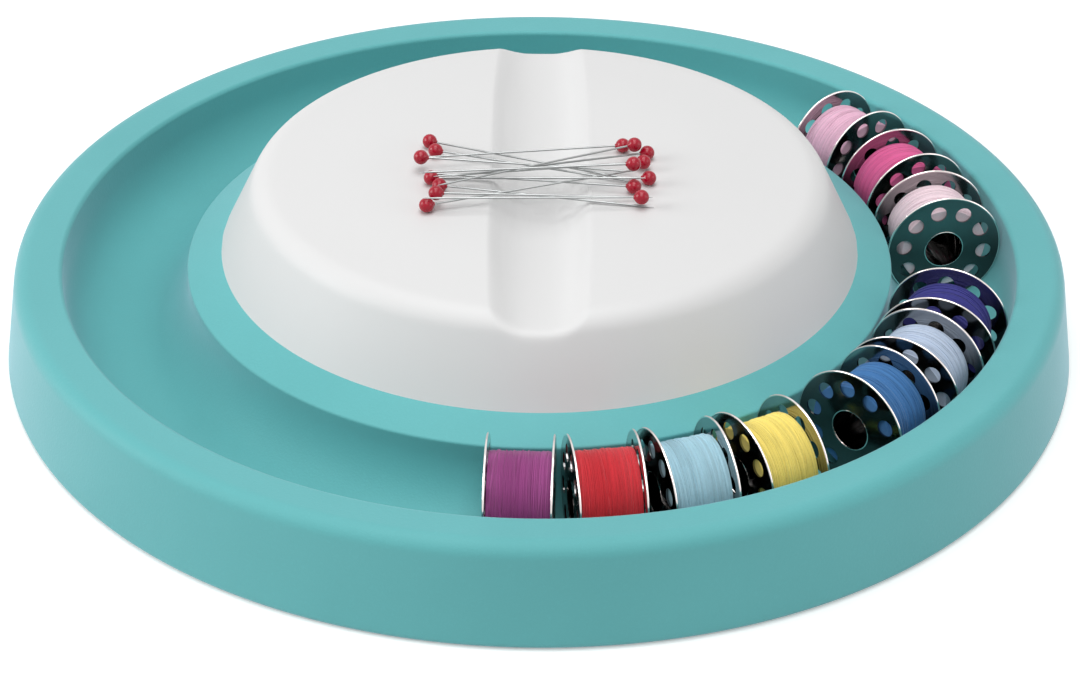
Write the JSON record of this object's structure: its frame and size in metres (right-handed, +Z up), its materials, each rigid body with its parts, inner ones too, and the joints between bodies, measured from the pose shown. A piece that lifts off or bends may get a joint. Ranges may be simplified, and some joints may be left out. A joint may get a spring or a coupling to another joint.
{
  "type": "magnetic pin bowl",
  "caption": "Round desk tray with a channel for sewing machine bobbins round a magnetic dome that holds pins across its groove.",
  "frame": {"origin": "on the table under the middle of the bowl", "axes": "+Z up, Y along the dome's groove with +Y away from the viewer, +X to the viewer's right"},
  "size_m": [0.1838, 0.1838, 0.0358],
  "materials": {
    "tray_silicone": "soft matte teal silicone",
    "dome_white": "white satin plastic",
    "pan_white": "white moulded plastic",
    "magnet_nickel": "nickel plated magnet",
    "keeper_steel": "zinc plated sheet steel",
    "screw_steel": "zinc plated screw",
    "bobbin_nickel": "bright nickel plated steel",
    "pin_head_red": "glossy red ball",
    "pin_steel": "bright nickel plated wire",
    "thread_light_pink": "light pink sewing thread",
    "thread_hot_pink": "hot pink sewing thread",
    "thread_pale_pink": "pale pink sewing thread",
    "thread_navy": "navy sewing thread",
    "thread_grey_blue": "grey blue sewing thread",
    "thread_royal_blue": "royal blue sewing thread",
    "thread_yellow": "yellow sewing thread",
    "thread_sky_blue": "sky blue sewing thread",
    "thread_red": "red sewing thread",
    "thread_purple": "purple sewing thread"
  },
  "bodies": {
    "bowl": {"bobbin_tray": "tray_silicone", "pin_dome": "dome_white", "base_pan": "pan_white", "base_screws": "screw_steel", "magnet_left": "magnet_nickel", "magnet_right": "magnet_nickel", "keeper_plate": "keeper_steel", "keeper_screws": "screw_steel"},
    "bobbin_01": {"bobbin_01_spool": "bobbin_nickel", "bobbin_01_thread": "thread_light_pink"},
    "bobbin_02": {"bobbin_02_spool": "bobbin_nickel", "bobbin_02_thread": "thread_hot_pink"},
    "bobbin_03": {"bobbin_03_spool": "bobbin_nickel", "bobbin_03_thread": "thread_pale_pink"},
    "bobbin_04": {"bobbin_04_spool": "bobbin_nickel", "bobbin_04_thread": "thread_navy"},
    "bobbin_05": {"bobbin_05_spool": "bobbin_nickel", "bobbin_05_thread": "thread_grey_blue"},
    "bobbin_06": {"bobbin_06_spool": "bobbin_nickel", "bobbin_06_thread": "thread_royal_blue"},
    "bobbin_07": {"bobbin_07_spool": "bobbin_nickel", "bobbin_07_thread": "thread_yellow"},
    "bobbin_08": {"bobbin_08_spool": "bobbin_nickel", "bobbin_08_thread": "thread_sky_blue"},
    "bobbin_09": {"bobbin_09_spool": "bobbin_nickel", "bobbin_09_thread": "thread_red"},
    "bobbin_10": {"bobbin_10_spool": "bobbin_nickel", "bobbin_10_thread": "thread_purple"},
    "pin_01": {"pin_01_head": "pin_head_red", "pin_01_shaft": "pin_steel"},
    "pin_02": {"pin_02_head": "pin_head_red", "pin_02_shaft": "pin_steel"},
    "pin_03": {"pin_03_head": "pin_head_red", "pin_03_shaft": "pin_steel"},
    "pin_04": {"pin_04_head": "pin_head_red", "pin_04_shaft": "pin_steel"},
    "pin_05": {"pin_05_head": "pin_head_red", "pin_05_shaft": "pin_steel"},
    "pin_06": {"pin_06_head": "pin_head_red", "pin_06_shaft": "pin_steel"},
    "pin_07": {"pin_07_head": "pin_head_red", "pin_07_shaft": "pin_steel"},
    "pin_08": {"pin_08_head": "pin_head_red", "pin_08_shaft": "pin_steel"},
    "pin_09": {"pin_09_head": "pin_head_red", "pin_09_shaft": "pin_steel"},
    "pin_10": {"pin_10_head": "pin_head_red", "pin_10_shaft": "pin_steel"},
    "pin_11": {"pin_11_head": "pin_head_red", "pin_11_shaft": "pin_steel"},
    "pin_12": {"pin_12_head": "pin_head_red", "pin_12_shaft": "pin_steel"},
    "pin_13": {"pin_13_head": "pin_head_red", "pin_13_shaft": "pin_steel"},
    "pin_14": {"pin_14_head": "pin_head_red", "pin_14_shaft": "pin_steel"},
    "pin_15": {"pin_15_head": "pin_head_red", "pin_15_shaft": "pin_steel"}
  },
  "joints": [
    {"name": "bobbin_01_lift", "type": "slide", "parent": "bowl", "child": "bobbin_01", "axis": [0, 0, 1], "range_m": [0, 0.03]},
    {"name": "bobbin_02_lift", "type": "slide", "parent": "bowl", "child": "bobbin_02", "axis": [0, 0, 1], "range_m": [0, 0.03]},
    {"name": "bobbin_03_lift", "type": "slide", "parent": "bowl", "child": "bobbin_03", "axis": [0, 0, 1], "range_m": [0, 0.03]},
    {"name": "bobbin_04_lift", "type": "slide", "parent": "bowl", "child": "bobbin_04", "axis": [0, 0, 1], "range_m": [0, 0.03]},
    {"name": "bobbin_05_lift", "type": "slide", "parent": "bowl", "child": "bobbin_05", "axis": [0, 0, 1], "range_m": [0, 0.03]},
    {"name": "bobbin_06_lift", "type": "slide", "parent": "bowl", "child": "bobbin_06", "axis": [0, 0, 1], "range_m": [0, 0.03]},
    {"name": "bobbin_07_lift", "type": "slide", "parent": "bowl", "child": "bobbin_07", "axis": [0, 0, 1], "range_m": [0, 0.03]},
    {"name": "bobbin_08_lift", "type": "slide", "parent": "bowl", "child": "bobbin_08", "axis": [0, 0, 1], "range_m": [0, 0.03]},
    {"name": "bobbin_09_lift", "type": "slide", "parent": "bowl", "child": "bobbin_09", "axis": [0, 0, 1], "range_m": [0, 0.03]},
    {"name": "bobbin_10_lift", "type": "slide", "parent": "bowl", "child": "bobbin_10", "axis": [0, 0, 1], "range_m": [0, 0.03]},
    {"name": "pin_01_lift", "type": "slide", "parent": "bowl", "child": "pin_01", "axis": [0, 0, 1], "range_m": [0, 0.008]},
    {"name": "pin_02_lift", "type": "slide", "parent": "pin_01", "child": "pin_02", "axis": [0, 0, 1], "range_m": [0, 0.008]},
    {"name": "pin_03_lift", "type": "slide", "parent": "pin_02", "child": "pin_03", "axis": [0, 0, 1], "range_m": [0, 0.008]},
    {"name": "pin_04_lift", "type": "slide", "parent": "pin_03", "child": "pin_04", "axis": [0, 0, 1], "range_m": [0, 0.008]},
    {"name": "pin_05_lift", "type": "slide", "parent": "pin_04", "child": "pin_05", "axis": [0, 0, 1], "range_m": [0, 0.008]},
    {"name": "pin_06_lift", "type": "slide", "parent": "pin_05", "child": "pin_06", "axis": [0, 0, 1], "range_m": [0, 0.008]},
    {"name": "pin_07_lift", "type": "slide", "parent": "pin_06", "child": "pin_07", "axis": [0, 0, 1], "range_m": [0, 0.008]},
    {"name": "pin_08_lift", "type": "slide", "parent": "pin_07", "child": "pin_08", "axis": [0, 0, 1], "range_m": [0, 0.008]},
    {"name": "pin_09_lift", "type": "slide", "parent": "pin_08", "child": "pin_09", "axis": [0, 0, 1], "range_m": [0, 0.008]},
    {"name": "pin_10_lift", "type": "slide", "parent": "pin_09", "child": "pin_10", "axis": [0, 0, 1], "range_m": [0, 0.008]},
    {"name": "pin_11_lift", "type": "slide", "parent": "pin_10", "child": "pin_11", "axis": [0, 0, 1], "range_m": [0, 0.008]},
    {"name": "pin_12_lift", "type": "slide", "parent": "pin_11", "child": "pin_12", "axis": [0, 0, 1], "range_m": [0, 0.008]},
    {"name": "pin_13_lift", "type": "slide", "parent": "pin_12", "child": "pin_13", "axis": [0, 0, 1], "range_m": [0, 0.008]},
    {"name": "pin_14_lift", "type": "slide", "parent": "pin_13", "child": "pin_14", "axis": [0, 0, 1], "range_m": [0, 0.008]},
    {"name": "pin_15_lift", "type": "slide", "parent": "pin_14", "child": "pin_15", "axis": [0, 0, 1], "range_m": [0, 0.008]}
  ]
}
